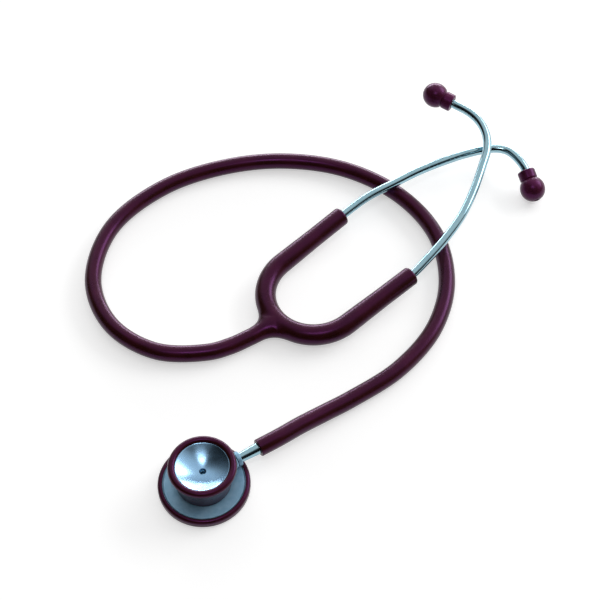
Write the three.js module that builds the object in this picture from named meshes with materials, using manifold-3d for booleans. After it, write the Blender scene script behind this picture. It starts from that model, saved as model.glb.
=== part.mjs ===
// Single-tube stethoscope with a two-sided chestpiece, lying on a table. Millimetres, +Z up.
// The origin is the centre of the diaphragm's flat face, which rests on the table.
import * as THREE from "three";
import { mergeVertices } from "three/addons/utils/BufferGeometryUtils.js";
import Module from "manifold-3d";

const wasm = await Module();
wasm.setup();

// Fits
const FIT = 0.3; // gap between two pieces that touch, turn or slide on each other
const CUT = 1; // how far a cutting shape runs past the face it opens

// Chestpiece: diaphragm side, heights from the table
const RIM_R = 23.5; // outer radius of the snap ring round the diaphragm
const RIM_WALL = 1.0; // ring wall outside the plate's edge
const RIM_LIFT = 0.25; // the ring clears the table by this
const RIM_FOOT = 0.8; // thickness of the lip under the diaphragm
const RIM_FOOT_REACH = 2.5; // how far that lip reaches in under the diaphragm's edge
const RIM_COVER = 0.85; // thickness of the lip over the plate
const RIM_COVER_REACH = 1.4; // how far that lip reaches in over the plate
const RIM_ROUND = 1.1; // rounding of the ring's outer corners
const DIAPHRAGM_THICK = 0.4;
const DIAPHRAGM_STEP = 1.8; // width of the sloping band round the pad that touches the skin
const FLANGE_THICK = 2.0; // the plate's edge, held between the ring's two lips
const PLATE_STEP = 0.55; // the plate's visible face stands this far above its edge
const CAVITY_RISE = 1.2; // height of the shallow cone over the diaphragm
const CAVITY_LAND = 1.9; // width of the land that the diaphragm's edge bears on

// Chestpiece: hub, stem bore and bell
const HUB_R = 10.5;
const HUB_TOP = 14.4;
const HUB_FILLET = 1.2;
const REGISTER_R = 5.3; // round recess in the hub's top that centres the bell
const REGISTER_DEEP = 1.0;
const BOSS_R = 4.3;
const BOSS_REACH = 18.5; // from the chestpiece's axis to the boss's end face
const BOSS_CHAMFER = 0.6;
const STEM_Z = 9.6; // height of the stem's axis
const PORT_R = 1.2; // sound passages
const BELL_MOUTH_R = 13.4;
const BELL_TOP = 20.6;
const BELL_FLOOR = 15.2;
const BELL_CURVE = 1.5; // how late the bell's inside steepens towards its mouth
const BELL_WALL = 1.5;
const SLEEVE_FOOT_R = 14.0;
const SLEEVE_BEAD_R = 1.95; // radius of the rounded lip round the bell's mouth
const SLEEVE_BEAD_DROP = 0.4; // the lip's round is centred this far under the bell's edge
const SLEEVE_CURVE = 1.7; // how late the sleeve swells towards the lip

// Stem, distances from the chestpiece's axis
const STEM_HEADING = 31.3; // degrees from +X
const JOURNAL_R = 2.85;
const JOURNAL_END = -4.7;
const DETENT_X = 5;
const DETENT_GROOVE_R = 2.3;
const BALL_R = 1.0;
const SPRING_WIRE = 0.3;
const SPRING_TURNS = 4;
const SPRING_LENGTH = 2.4;
const COIL_STEPS = 8; // straight stretches in each turn of the spring
const WIRE_SIDES = 5;
const SCREW_LENGTH = 1.3;
const RING_X = 14;
const RING_WIRE = 0.65;
const RING_GROOVE_R = 1.9;
const COLLAR_R = 4.0;
const COLLAR_LENGTH = 2.2;
const SHANK_R_INNER = 2.6; // the chromed shank next to the collar
const SHANK_R_OUTER = 3.1; // and where the tube starts
const TUBE_START = 31.9; // the tube's end face
const BARB_LENGTH = 10;
const BARB_NECK_R = 2.0;
const RIDGE_PEAK = 0.3; // how far along each ridge, on the barb and the nipples, it is widest

// Tube
const TUBE_R = 4.65;
const TUBE_BORE_R = 2.7;
const TUBE_SIDES = 10;
const TUBE_STEPS = 32;
const TUBE_STRAIGHT = 12; // it leaves the chestpiece in line with the stem
// The rest of its route: down to the table, round the loop and into the yoke.
const TUBE_ROUTE = [
  [48.7, 31.1, 8.0], [62.0, 40.1, 6.1], [75.3, 48.7, 5.0],
  [101.1, 67.6, 4.8], [121.4, 93.9, 4.8], [130.5, 125.6, 4.8], [125.9, 160.4, 4.8],
  [106.3, 189.4, 4.8], [75.2, 209.3, 4.8], [39.4, 216.0, 4.8], [3.6, 211.3, 4.8],
  [-32.0, 195.1, 4.8], [-60.0, 164.8, 4.8], [-67.3, 126.3, 4.8], [-54.5, 96.0, 4.8],
  [-29.2, 79.2, 4.8], [-1.3, 78.5, 4.8], [11.5, 82.8, 4.8], [22.3, 88.8, 4.8],
];

// Headset frame: u along its middle, v to its left, w square to both. It rises towards the ears.
const HEADSET_AT = [31.5, 93.5, 5.6];
const HEADSET_YAW = 41.45;
const HEADSET_TILT = 4.57;

// Yoke
const YOKE_R = 5.4; // of the arms at their ends
const YOKE_BEND_R = 5.8; // and of the bend, which is a little thicker
const YOKE_SWELL = 22; // from this far down each arm it thickens towards the bend
const BEND_R = 27.4; // radius of the bend's middle line
const BEND_U = 33.7; // place of the bend's centre
const ARM_SPLAY = 1.4; // degrees that each arm runs outwards
const ARM_LENGTH = 47.3; // from the bend to the arm's end
const ARM_ROUND = 1.3; // rounding of the arms' ends
const CROTCH_R = 7; // fillet between the stub and the bend
const STUB_HEIGHT_R = 5.1; // the stub's half height where it meets the bend
const LUMEN_R = 2.0;
const YOKE_SIDES = 16;
const BEND_STEPS = 12;
const STUB_STEPS = 11;

// Ear tubes, leaf spring and the rings that tie them together
const EAR_R = 2.5;
const EAR_BORE_R = 1.9;
const EAR_SIDES = 10;
const EAR_STEPS = 28;
const SOCKET_DEPTH = 26.3;
const LEAF_THICK = 0.6;
const LEAF_HEIGHT = 4.0;
const LEAF_TIP_HEIGHT = 2.4;
const LEAF_TAPER = 12; // length over which each end narrows
const CLIP_DEPTH = 19.3; // how deep the rings' inner ends lie in the arms
const CLIP_LENGTH = 7;
const CLIP_R = 4.0;
const CLIP_WALL = 0.5;
const CLIP_SHIFT = -0.45; // the ring sits off the tube's axis, towards the leaf
const LEAF_PAST_CLIP = 1;
// Each ear tube is turned in its arm: the left one dips to the table, the right one rises over it.
const EAR_ROUTES = {
  left: [
    [100.4, 28.6, -0.9], [119.3, 25.9, -2.4], [134.1, 23.6, -3.5], [149.4, 19.8, -4.6],
    [163.9, 15.1, -5.6], [175.7, 9.7, -6.3], [183.1, 4.5, -6.7], [186.2, -0.8, -6.8],
    [186.5, -6, -6.8], [185.7, -11.2, -6.8], [184.4, -16.2, -7.3], [182.6, -20.4, -9.05],
  ],
  right: [
    [93.1, -27.1, 0.3], [109.1, -24.5, 0.7], [127.8, -19.8, 1.45], [144.7, -12.6, 2.2],
    [162.4, -2.9, 3], [171.4, 2.6, 3.5], [177.6, 8.7, 4], [181.5, 15.6, 4.6], [183.2, 22.2, 5.3],
    [183, 29.5, 6], [181, 38, 6.6], [179.5, 42.6, 7.25],
  ],
};

// Ear tips and their nipples, distances from the ear tube's end
const NIPPLE_R = 2.5;
const NIPPLE_NECK_R = 2.05;
const NIPPLE_LENGTH = 6.6;
const NIPPLE_FLANGE = 1.0;
const NIPPLE_INSERT = 3;
const NIPPLE_BORE_R = 0.9;
const TIP_BALL_R = 7.3;
const TIP_BALL_AT = 8.7;
const TIP_STRETCH = 1.04; // the ball is a little longer than it is wide
const TIP_ROUND_END = 78; // degrees up the ball, where it turns in to the hole
const TIP_COLLAR_R = 5.2;
const TIP_COLLAR_BACK = 2.8; // the collar starts this far down the ear tube
const TIP_COLLAR_LENGTH = 5.8;
const TIP_COLLAR_ROUND = 0.8;
const TIP_NECK_R = 4.7;
const TIP_HOLE_R = 1.3;

// Sides of the turned pieces, and of narrow holes and airways
const ROUND = 32;
const SMALL_ROUND = 16;
const HOLE_SIDES = 12;
const AIRWAY_SIDES = 8;

// Worked out from the sizes above
const RIM_FOOT_TOP = RIM_LIFT + RIM_FOOT;
const DIAPHRAGM_EDGE_Z = RIM_FOOT_TOP + FIT;
const PLATE_BOTTOM = DIAPHRAGM_EDGE_Z + DIAPHRAGM_THICK + FIT;
const FLANGE_TOP = PLATE_BOTTOM + FLANGE_THICK;
const PLATE_TOP = FLANGE_TOP + PLATE_STEP;
const RIM_TOP = FLANGE_TOP + FIT + RIM_COVER;
const RIM_GROOVE_R = RIM_R - RIM_WALL;
const RIM_FOOT_R = RIM_GROOVE_R - RIM_FOOT_REACH;
const PLATE_R = RIM_GROOVE_R - FIT;
const BORE_R = JOURNAL_R + FIT;
const BELL_SEAT = HUB_TOP + FIT;
const BELL_OUTER_R = BELL_MOUTH_R + BELL_WALL;
const SLEEVE_FOOT = PLATE_TOP + FIT;
const SLEEVE_MOUTH_R = BELL_MOUTH_R + 2 * SLEEVE_BEAD_R;
const LEAF_OFFSET = -(EAR_R + FIT + LEAF_THICK / 2); // from the arms' centre line, to the inside
const NECK_Z = TIP_COLLAR_LENGTH - TIP_COLLAR_BACK;
const LEAF_START = CLIP_DEPTH - CLIP_LENGTH - LEAF_PAST_CLIP; // from the arm's end

const UPWARDS = new THREE.Vector3(0, 0, 1);

const radians = THREE.MathUtils.degToRad;
const SPLAY = radians(ARM_SPLAY);
const ARC_LENGTH = (Math.PI - 2 * SPLAY) * BEND_R;
const YOKE_LENGTH = 2 * ARM_LENGTH + ARC_LENGTH; // of its middle line, from arm's end to arm's end

// The corners of a regular polygon, or of one that is stretched upwards.
function polygon(sides, across, up = across) {
  return Array.from({ length: sides }, (_, i) => {
    const angle = (2 * Math.PI * i) / sides;
    return new THREE.Vector2(across * Math.cos(angle), up * Math.sin(angle));
  });
}

// Points on an arc, angles in degrees, as [across, up] pairs.
function arc(x, y, radius, from, to, steps, stretch = 1) {
  return Array.from({ length: steps + 1 }, (_, i) => {
    const angle = radians(from + ((to - from) * i) / steps);
    return [x + radius * Math.cos(angle), y + stretch * radius * Math.sin(angle)];
  });
}

// A turned piece about Z from [radius, height] pairs, given upwards along the outside.
function turned(profile, sides) {
  const points = profile.map(([r, z]) => new THREE.Vector2(Math.max(r, 0), z));
  return new THREE.LatheGeometry(points, sides).rotateX(Math.PI / 2);
}

// A turned ring: its outline closes on itself.
function turnedRing(outline, sides) {
  return turned([...outline, outline[0]], sides);
}

// A rod or a hole about Z between two heights.
function rod(radius, from, to, sides = SMALL_ROUND) {
  return turned([[0, from], [radius, from], [radius, to], [0, to]], sides);
}

function sphere(radius, x, y, z) {
  return new THREE.SphereGeometry(radius, 12, 8).translate(x, y, z);
}

// A section swept along a curve in space, with an optional bore.
function swept(route, section, bore, steps) {
  const shape = new THREE.Shape(section);
  if (bore) shape.holes.push(new THREE.Path(bore));
  return new THREE.ExtrudeGeometry(shape, { steps, bevelEnabled: false, extrudePath: route });
}

// A closed solid through rings of points, with a flat cap at each end.
function skin(rings) {
  const count = rings[0].length;
  const last = (rings.length - 1) * count;
  const faces = [];
  for (let start = 0; start < last; start += count) {
    for (let i = 0; i < count; i++) {
      const a = start + i;
      const b = start + ((i + 1) % count);
      faces.push(a, b, b + count, a, b + count, a + count);
    }
  }
  for (let i = 1; i < count - 1; i++) {
    faces.push(0, i + 1, i, last, last + i, last + i + 1);
  }
  const geometry = new THREE.BufferGeometry().setFromPoints(rings.flat());
  geometry.setIndex(faces);
  return geometry;
}

// A changing section along a flat curve in the u-v plane. Section points are [to the left, up].
function sweptFlat(curve, stations, sectionAt) {
  const rings = stations.map((station) => {
    const centre = curve.getPointAt(station);
    const along = curve.getTangentAt(station);
    return sectionAt(station, centre).map(
      ({ x, y }) => new THREE.Vector3(centre.x - along.y * x, centre.y + along.x * x, y),
    );
  });
  return skin(rings);
}

function toSolid(geometry) {
  const bare = geometry.clone();
  bare.deleteAttribute("normal");
  bare.deleteAttribute("uv");
  const merged = mergeVertices(bare, 1e-4);
  const mesh = new wasm.Mesh({
    numProp: 3,
    vertProperties: new Float32Array(merged.attributes.position.array),
    triVerts: new Uint32Array(merged.index.array),
  });
  return new wasm.Manifold(mesh);
}

function toGeometry(solid) {
  const mesh = solid.getMesh();
  const geometry = new THREE.BufferGeometry();
  geometry.setAttribute("position", new THREE.BufferAttribute(mesh.vertProperties, 3));
  geometry.setIndex(new THREE.BufferAttribute(mesh.triVerts, 1));
  return geometry.toNonIndexed();
}

// The base with every shape of the first list joined on, then every shape of the second cut off.
function carved(base, joined, cut) {
  const whole = joined.reduce((solid, shape) => solid.add(toSolid(shape)), toSolid(base));
  return toGeometry(cut.reduce((solid, shape) => solid.subtract(toSolid(shape)), whole));
}

const MATERIALS = {
  vinyl: { color: 0x45202e, roughness: 0.32, metalness: 0 },
  soft: { color: 0x4a1a38, roughness: 0.4, metalness: 0 },
  steel: { color: 0xaebfc6, roughness: 0.22, metalness: 1 },
  satin: { color: 0x8fa9b8, roughness: 0.35, metalness: 1 },
  spring: { color: 0x6f767c, roughness: 0.4, metalness: 1 },
  membrane: { color: 0xd9dcd6, roughness: 0.45, metalness: 0 },
  seal: { color: 0x1c1c1e, roughness: 0.6, metalness: 0 },
};

function part(name, geometry, finish) {
  geometry.computeVertexNormals();
  const mesh = new THREE.Mesh(geometry, new THREE.MeshStandardMaterial(MATERIALS[finish]));
  mesh.name = name;
  return mesh;
}

// Turns a shape made about Z so that it lies along +X at the stem's height.
function alongStem(geometry) {
  return geometry.rotateY(Math.PI / 2).translate(0, 0, STEM_Z);
}

// Chestpiece: the turned body with its plate, hub and boss, and the drilled passages

function chestpieceBody() {
  const coneR = PLATE_R - CAVITY_LAND;
  const turnedBody = turned(
    [
      [0, PLATE_BOTTOM + CAVITY_RISE],
      [coneR, PLATE_BOTTOM + CAVITY_RISE / 4],
      [coneR, PLATE_BOTTOM],
      [PLATE_R, PLATE_BOTTOM],
      [PLATE_R, FLANGE_TOP],
      [PLATE_R - RIM_COVER_REACH, FLANGE_TOP],
      [PLATE_R - RIM_COVER_REACH - PLATE_STEP / 2, PLATE_TOP],
      ...arc(HUB_R + HUB_FILLET, PLATE_TOP + HUB_FILLET, HUB_FILLET, 270, 180, 3),
      [HUB_R, HUB_TOP],
      [REGISTER_R, HUB_TOP],
      [REGISTER_R, HUB_TOP - REGISTER_DEEP],
      [0, HUB_TOP - REGISTER_DEEP],
    ],
    ROUND,
  );
  const bossStart = (REGISTER_R + HUB_R) / 2;
  const boss = turned(
    [
      [0, bossStart],
      [BOSS_R, bossStart],
      [BOSS_R, BOSS_REACH - BOSS_CHAMFER],
      [BOSS_R - BOSS_CHAMFER, BOSS_REACH],
      [0, BOSS_REACH],
    ],
    SMALL_ROUND,
  );
  const stemBore = rod(BORE_R, JOURNAL_END - FIT, BOSS_REACH + CUT);
  const passage = rod(PORT_R + FIT, PLATE_BOTTOM, HUB_TOP + CUT, HOLE_SIDES);
  const detentHole = rod(BALL_R + FIT, 0, HUB_R + CUT, HOLE_SIDES).rotateX(-Math.PI / 2);
  return carved(
    turnedBody,
    [alongStem(boss)],
    [alongStem(stemBore), passage, detentHole.translate(DETENT_X, 0, STEM_Z)],
  );
}

// The bell's outside is the ellipse that meets the hub's edge at the seat.
function bellOutside(z) {
  const drop = BELL_TOP - BELL_SEAT;
  const depth = drop / Math.sqrt(1 - (HUB_R / BELL_OUTER_R) ** 2);
  return BELL_OUTER_R * Math.sqrt(1 - ((BELL_TOP - z) / depth) ** 2);
}

function bellHeights(steps) {
  return Array.from({ length: steps + 1 }, (_, i) => BELL_SEAT + ((BELL_TOP - BELL_SEAT) * i) / steps);
}

function bellCup() {
  const spigotR = REGISTER_R - FIT;
  const rings = 6;
  const inside = Array.from({ length: rings + 1 }, (_, i) => {
    const out = 1 - i / rings;
    return [BELL_MOUTH_R * out, BELL_FLOOR + (BELL_TOP - BELL_FLOOR) * out ** BELL_CURVE];
  });
  const cup = turned(
    [
      [0, HUB_TOP - REGISTER_DEEP + FIT],
      [spigotR, HUB_TOP - REGISTER_DEEP + FIT],
      [spigotR, BELL_SEAT],
      ...bellHeights(4).map((z) => [bellOutside(z), z]),
      ...inside,
    ],
    ROUND,
  );
  return carved(cup, [], [rod(PORT_R + FIT, HUB_TOP - REGISTER_DEEP, BELL_TOP, HOLE_SIDES)]);
}

// The soft sleeve covers the hub and the bell's outside and ends in a rounded lip over its edge.
function bellSleeve() {
  const beadR = BELL_MOUTH_R + SLEEVE_BEAD_R;
  const beadZ = BELL_TOP - SLEEVE_BEAD_DROP;
  const lipSeat = BELL_TOP + FIT;
  const lipAngle = 180 - THREE.MathUtils.radToDeg(Math.asin((lipSeat - beadZ) / SLEEVE_BEAD_R));
  const steps = 5;
  const outside = Array.from({ length: steps }, (_, i) => {
    const rise = i / steps;
    const swell = (SLEEVE_MOUTH_R - SLEEVE_FOOT_R) * rise ** SLEEVE_CURVE;
    return [SLEEVE_FOOT_R + swell, SLEEVE_FOOT + (beadZ - SLEEVE_FOOT) * rise];
  });
  const inside = bellHeights(4).reverse().map((z) => [bellOutside(z) + FIT, z]);
  const ring = turnedRing(
    [
      [HUB_R + FIT, SLEEVE_FOOT + HUB_FILLET],
      [HUB_R + FIT + HUB_FILLET, SLEEVE_FOOT],
      ...outside,
      ...arc(beadR, beadZ, SLEEVE_BEAD_R, 0, lipAngle, 6),
      [BELL_OUTER_R + FIT, lipSeat],
      ...inside,
    ],
    ROUND,
  );
  const bossHole = rod(BOSS_R + FIT, HUB_R / 2, SLEEVE_MOUTH_R + CUT);
  return carved(ring, [], [alongStem(bossHole)]);
}

// The diaphragm is a thin dished disc: its pad touches the skin and its edge lies in the ring.
function diaphragm() {
  const edgeR = PLATE_R - FIT;
  const slopeR = RIM_FOOT_R - FIT;
  const padR = slopeR - DIAPHRAGM_STEP;
  return turned(
    [
      [0, 0],
      [padR, 0],
      [slopeR, DIAPHRAGM_EDGE_Z],
      [edgeR, DIAPHRAGM_EDGE_Z],
      [edgeR, DIAPHRAGM_EDGE_Z + DIAPHRAGM_THICK],
      [slopeR - DIAPHRAGM_THICK / 2, DIAPHRAGM_EDGE_Z + DIAPHRAGM_THICK],
      [padR - DIAPHRAGM_THICK / 2, DIAPHRAGM_THICK],
      [0, DIAPHRAGM_THICK],
    ],
    ROUND,
  );
}

function diaphragmRim() {
  const coverR = PLATE_R - RIM_COVER_REACH + FIT;
  return turnedRing(
    [
      [RIM_FOOT_R, RIM_LIFT],
      ...arc(RIM_R - RIM_ROUND, RIM_LIFT + RIM_ROUND, RIM_ROUND, 270, 360, 3),
      ...arc(RIM_R - RIM_ROUND, RIM_TOP - RIM_ROUND, RIM_ROUND, 0, 90, 3),
      [coverR, RIM_TOP],
      [coverR, RIM_TOP - RIM_COVER],
      [RIM_GROOVE_R, RIM_TOP - RIM_COVER],
      [RIM_GROOVE_R, RIM_FOOT_TOP],
      [RIM_FOOT_R, RIM_FOOT_TOP],
    ],
    ROUND,
  );
}

// Stem: a journal that the chestpiece turns on, a chromed shank and a barb inside the tube

function stem() {
  const grooveHalf = BALL_R + FIT;
  const ringHalf = RING_WIRE / 2 + FIT;
  const shankStart = BOSS_REACH + 2 * FIT + COLLAR_LENGTH;
  const shankEnd = TUBE_START - FIT;
  const barbR = TUBE_BORE_R * Math.cos(Math.PI / TUBE_SIDES) - FIT;
  const ridge = BARB_LENGTH / 2;
  const profile = [
    [0, JOURNAL_END],
    [JOURNAL_R, JOURNAL_END],
    [JOURNAL_R, DETENT_X - grooveHalf],
    [DETENT_GROOVE_R, DETENT_X - grooveHalf],
    [DETENT_GROOVE_R, DETENT_X + grooveHalf],
    [JOURNAL_R, DETENT_X + grooveHalf],
    [JOURNAL_R, RING_X - ringHalf],
    [RING_GROOVE_R, RING_X - ringHalf],
    [RING_GROOVE_R, RING_X + ringHalf],
    [JOURNAL_R, RING_X + ringHalf],
    [JOURNAL_R, shankStart],
    [SHANK_R_INNER, shankStart],
    [SHANK_R_OUTER, shankEnd],
    [BARB_NECK_R, shankEnd],
    [barbR, shankEnd + ridge * RIDGE_PEAK],
    [BARB_NECK_R, shankEnd + ridge],
    [barbR, shankEnd + ridge * (1 + RIDGE_PEAK)],
    [BARB_NECK_R, shankEnd + BARB_LENGTH],
    [0, shankEnd + BARB_LENGTH],
  ];
  const airway = rod(PORT_R, -PORT_R, shankEnd + BARB_LENGTH + CUT, HOLE_SIDES);
  const port = rod(PORT_R, STEM_Z - JOURNAL_R - CUT, STEM_Z, HOLE_SIDES);
  const dimpleY = DETENT_GROOVE_R + BALL_R + FIT / 2;
  const dimples = [dimpleY, -dimpleY].map((y) => sphere(BALL_R + FIT, DETENT_X, y, STEM_Z));
  return carved(alongStem(turned(profile, SMALL_ROUND)), [], [alongStem(airway), port, ...dimples]);
}

function stemCollar() {
  const inner = JOURNAL_R + FIT;
  const start = BOSS_REACH + FIT;
  const end = start + COLLAR_LENGTH;
  return alongStem(
    turnedRing(
      [
        [inner, start],
        [COLLAR_R, start],
        [COLLAR_R, end - BOSS_CHAMFER],
        [COLLAR_R - BOSS_CHAMFER, end],
        [inner, end],
      ],
      SMALL_ROUND,
    ),
  );
}

function stemRing() {
  const middle = RING_GROOVE_R + FIT + RING_WIRE / 2;
  const outline = arc(middle, RING_X, RING_WIRE / 2, 0, 360, 6).slice(0, -1);
  return alongStem(turnedRing(outline, SMALL_ROUND));
}

// The click: a ball, the spring behind it and the screw that closes their hole in the hub's side

const BALL_Y = DETENT_GROOVE_R + FIT + BALL_R;
const SPRING_Y = BALL_Y + BALL_R + FIT;

function detentBall() {
  return sphere(BALL_R, DETENT_X, BALL_Y, STEM_Z);
}

function detentSpring() {
  const coilR = BALL_R - SPRING_WIRE;
  const steps = SPRING_TURNS * COIL_STEPS;
  const points = Array.from({ length: steps + 1 }, (_, i) => {
    const angle = (2 * Math.PI * i) / COIL_STEPS;
    const y = SPRING_Y + SPRING_WIRE / 2 + ((SPRING_LENGTH - SPRING_WIRE) * i) / steps;
    return new THREE.Vector3(DETENT_X + coilR * Math.cos(angle), y, STEM_Z + coilR * Math.sin(angle));
  });
  const wire = polygon(WIRE_SIDES, SPRING_WIRE / 2);
  return swept(new THREE.CatmullRomCurve3(points), wire, null, steps);
}

function detentScrew() {
  const start = SPRING_Y + SPRING_LENGTH + FIT;
  const end = start + SCREW_LENGTH;
  const screw = rod(BALL_R, start, end, HOLE_SIDES).rotateX(-Math.PI / 2);
  const slot = new THREE.BoxGeometry(2 * BALL_R, SCREW_LENGTH / 2, BALL_R / 2);
  return carved(screw, [], [slot.translate(0, end, 0)]).translate(DETENT_X, 0, STEM_Z);
}

// Tube

function vectors(points) {
  return points.map(([x, y, z]) => new THREE.Vector3(x, y, z));
}

function tubing() {
  const straight = [TUBE_START, TUBE_START + TUBE_STRAIGHT].map((reach) =>
    new THREE.Vector3(reach, 0, STEM_Z).applyAxisAngle(UPWARDS, radians(STEM_HEADING)),
  );
  const route = new THREE.CatmullRomCurve3([...straight, ...vectors(TUBE_ROUTE)]);
  return swept(route, polygon(TUBE_SIDES, TUBE_R), polygon(TUBE_SIDES, TUBE_BORE_R), TUBE_STEPS);
}

// Headset: its pieces are made in its own frame

const headset = new THREE.Group();
headset.position.set(...HEADSET_AT);
headset.rotation.set(0, -radians(HEADSET_TILT), radians(HEADSET_YAW), "ZYX");
headset.updateMatrixWorld(true);

// A place on an arm's middle line: side is 1 on the left and -1 on the right.
function armPoint(side, depth) {
  const out = ARM_LENGTH - depth;
  const u = BEND_U - BEND_R * Math.sin(SPLAY) + out * Math.cos(SPLAY);
  const v = BEND_R * Math.cos(SPLAY) + out * Math.sin(SPLAY);
  return new THREE.Vector3(u, side * v, 0);
}

// The yoke's middle line: along the right arm, round the bend and out along the left arm.
function yokeLine() {
  const [start, rightFoot] = [0, ARM_LENGTH].map((depth) => armPoint(-1, depth));
  const end = armPoint(1, 0);
  const halfTurn = Math.PI / 2 + SPLAY;
  const line = new THREE.Path();
  line.moveTo(start.x, start.y);
  line.lineTo(rightFoot.x, rightFoot.y);
  line.absarc(BEND_U, 0, BEND_R, -halfTurn, halfTurn, true);
  line.lineTo(end.x, end.y);
  return line;
}

// Places along the yoke's line, as shares of its length, from one end's list of distances.
function bothWays(distances) {
  const bend = Array.from(
    { length: BEND_STEPS + 1 },
    (_, i) => ARM_LENGTH + (ARC_LENGTH * i) / BEND_STEPS,
  );
  const far = distances.map((d) => YOKE_LENGTH - d).reverse();
  return [...distances, ...bend, ...far].map((d) => d / YOKE_LENGTH);
}

function fromEnd(station) {
  return Math.min(station, 1 - station) * YOKE_LENGTH;
}

function yokeSkin() {
  const lip = [0, 0.1, 0.4, 1].map((share) => share * ARM_ROUND);
  return sweptFlat(yokeLine(), bothWays([...lip, YOKE_SWELL]), (station) => {
    const short = Math.max(0, ARM_ROUND - fromEnd(station));
    const swell = (fromEnd(station) - YOKE_SWELL) / (ARM_LENGTH - YOKE_SWELL);
    const full = THREE.MathUtils.lerp(YOKE_R, YOKE_BEND_R, THREE.MathUtils.clamp(swell, 0, 1));
    return polygon(YOKE_SIDES, full - ARM_ROUND + Math.sqrt(ARM_ROUND ** 2 - short ** 2));
  });
}

// Where the tube ends and which way it points there, in the headset's frame.
function tubeFace() {
  const [end, before] = vectors(TUBE_ROUTE).reverse().map((p) => headset.worldToLocal(p));
  return { end, out: end.clone().sub(before).normalize() };
}

// A shape about Z moved to the tube's end, its Z along the tube.
function atTubeFace(geometry) {
  const { end, out } = tubeFace();
  const facing = new THREE.Quaternion().setFromUnitVectors(UPWARDS, out);
  return geometry.applyQuaternion(facing).translate(end.x, end.y, end.z);
}

// The stub carries the tube's round section into the bend and flares into the crotch on each side.
function stubLine() {
  const { end, out } = tubeFace();
  const reach = -end.x / 2;
  return new THREE.QuadraticBezierCurve(
    new THREE.Vector2(end.x, end.y),
    new THREE.Vector2(end.x + reach, end.y + (reach * out.y) / out.x),
    new THREE.Vector2(BEND_U - BEND_R, 0),
  );
}

function stub() {
  const outerR = BEND_R + YOKE_BEND_R;
  const filletV = TUBE_R + CROTCH_R;
  const filletU = BEND_U - Math.sqrt((outerR + CROTCH_R) ** 2 - filletV ** 2);
  const touchU = filletU + (CROTCH_R * (BEND_U - filletU)) / (outerR + CROTCH_R);
  const stations = Array.from({ length: STUB_STEPS + 1 }, (_, i) => i / STUB_STEPS);
  return sweptFlat(stubLine(), stations, (station, centre) => {
    const into = THREE.MathUtils.clamp(centre.x - filletU, 0, touchU - filletU);
    const across = TUBE_R + CROTCH_R - Math.sqrt(CROTCH_R ** 2 - into ** 2);
    const up = THREE.MathUtils.lerp(TUBE_R, STUB_HEIGHT_R, station);
    return polygon(YOKE_SIDES, across, up);
  });
}

function rectangle(across, up, shift) {
  const corners = [[1, 1], [-1, 1], [-1, -1], [1, -1]];
  return corners.map(([x, y]) => new THREE.Vector2(shift + (x * across) / 2, (y * up) / 2));
}

// The leaf's height narrows towards each end, where a ring ties it to the ear tube.
function leaf(extra) {
  const distances = [LEAF_START - extra, LEAF_START + LEAF_TAPER];
  return sweptFlat(yokeLine(), bothWays(distances), (station) => {
    const share = THREE.MathUtils.clamp((fromEnd(station) - LEAF_START) / LEAF_TAPER, 0, 1);
    const height = THREE.MathUtils.lerp(LEAF_TIP_HEIGHT, LEAF_HEIGHT, share);
    return rectangle(LEAF_THICK + 2 * extra, height + 2 * extra, LEAF_OFFSET);
  });
}

// A shape about Z laid in one arm, its heights from the arm's end outwards.
function inArm(geometry, side, shift = 0) {
  const end = armPoint(side, 0);
  geometry.rotateY(Math.PI / 2).translate(0, side * shift, 0);
  return geometry.rotateZ(side * SPLAY).translate(end.x, end.y, 0);
}

function yoke() {
  const lumen = sweptFlat(yokeLine(), bothWays([SOCKET_DEPTH]), () => polygon(AIRWAY_SIDES, LUMEN_R));
  const stubBore = sweptFlat(stubLine(), [0, 0.25, 0.5, 0.75, 1], () =>
    polygon(AIRWAY_SIDES, TUBE_BORE_R),
  );
  const face = atTubeFace(rod(TUBE_R + CUT, -TUBE_R, FIT));
  const mouth = atTubeFace(rod(TUBE_BORE_R, 0, TUBE_R, AIRWAY_SIDES));
  const sockets = [1, -1].flatMap((side) => [
    inArm(rod(EAR_R + FIT, -SOCKET_DEPTH - FIT, CUT), side),
    inArm(rod(CLIP_R + FIT, -CLIP_DEPTH - FIT, CLIP_LENGTH - CLIP_DEPTH + FIT), side, CLIP_SHIFT),
  ]);
  const cuts = [lumen, stubBore, face, mouth, leaf(FIT), ...sockets];
  return carved(yokeSkin(), [stub()], cuts);
}

function earTube(side) {
  const sign = side === "left" ? 1 : -1;
  const inside = [SOCKET_DEPTH, SOCKET_DEPTH / 2, 0].map((depth) => armPoint(sign, depth));
  const route = new THREE.CatmullRomCurve3([...inside, ...vectors(EAR_ROUTES[side])]);
  return swept(route, polygon(EAR_SIDES, EAR_R), polygon(EAR_SIDES, EAR_BORE_R), EAR_STEPS);
}

function springClip(side) {
  const sign = side === "left" ? 1 : -1;
  const ring = turnedRing(
    [
      [CLIP_R - CLIP_WALL, -CLIP_DEPTH],
      [CLIP_R, -CLIP_DEPTH],
      [CLIP_R, CLIP_LENGTH - CLIP_DEPTH],
      [CLIP_R - CLIP_WALL, CLIP_LENGTH - CLIP_DEPTH],
    ],
    SMALL_ROUND,
  );
  return inArm(ring, sign, CLIP_SHIFT);
}

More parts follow.
